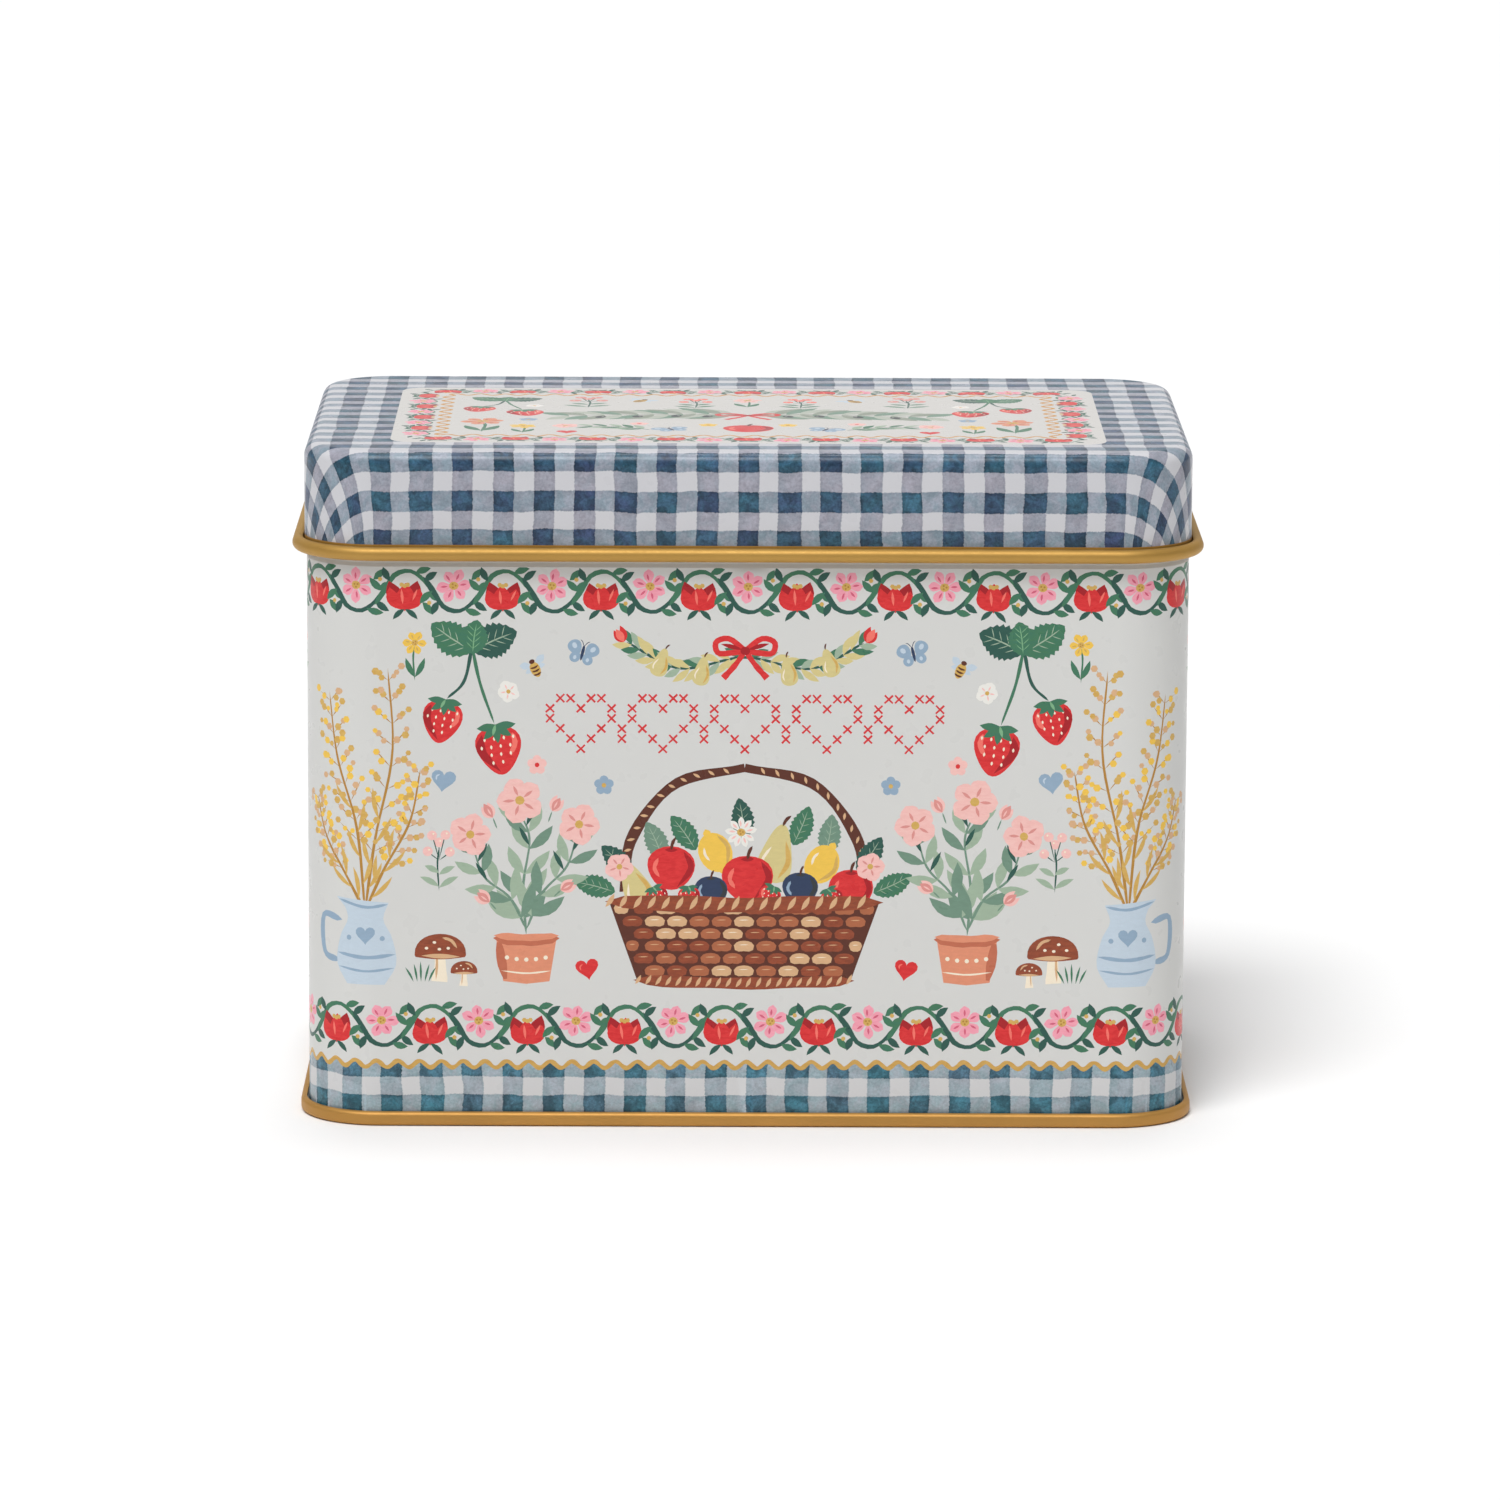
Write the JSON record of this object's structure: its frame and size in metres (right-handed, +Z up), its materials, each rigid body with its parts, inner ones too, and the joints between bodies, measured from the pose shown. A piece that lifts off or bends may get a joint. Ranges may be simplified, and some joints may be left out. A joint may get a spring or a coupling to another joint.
{
  "type": "recipe card box",
  "caption": "Rectangular printed tinplate box with a hinged, deep-skirted lid and rolled rims, holding tabbed dividers and index cards upright.",
  "frame": {"origin": "middle of the footprint, on the surface that the box stands on", "axes": "+X to the right seen from the front, +Y towards the back where the hinge is, +Z up"},
  "size_m": [0.1696, 0.1066, 0.127],
  "materials": {
    "printed_tinplate": "satin lacquer over print",
    "gingham_tinplate": "satin lacquer over print",
    "gold_lacquer": "satin metallic lacquer",
    "bare_steel": "drawn wire",
    "card_stock": "uncoated card",
    "divider_board": "coated board"
  },
  "bodies": {
    "box": {"body_wall": "printed_tinplate", "base_panel": "gold_lacquer", "hinge_strap_left": "gold_lacquer", "hinge_strap_right": "gold_lacquer", "divider_1": "divider_board", "divider_2": "divider_board", "divider_3": "divider_board", "divider_4": "divider_board", "divider_5": "divider_board", "divider_6": "divider_board", "divider_7": "divider_board", "divider_8": "divider_board", "recipe_card_01": "card_stock", "recipe_card_02": "card_stock", "recipe_card_03": "card_stock", "recipe_card_04": "card_stock", "recipe_card_05": "card_stock", "recipe_card_06": "card_stock", "recipe_card_07": "card_stock", "recipe_card_08": "card_stock", "recipe_card_09": "card_stock", "recipe_card_10": "card_stock", "recipe_card_11": "card_stock", "recipe_card_12": "card_stock", "recipe_card_13": "card_stock", "recipe_card_14": "card_stock", "recipe_card_15": "card_stock", "recipe_card_16": "card_stock"},
    "lid": {"lid_shell": "gingham_tinplate", "hinge_pin_left": "bare_steel", "hinge_pin_right": "bare_steel"}
  },
  "joints": [
    {"name": "lid_hinge", "type": "hinge", "parent": "box", "child": "lid", "pos_m": [0, 0.052, 0.1081], "axis": [-1, 0, 0], "range_deg": [0, 110]}
  ]
}
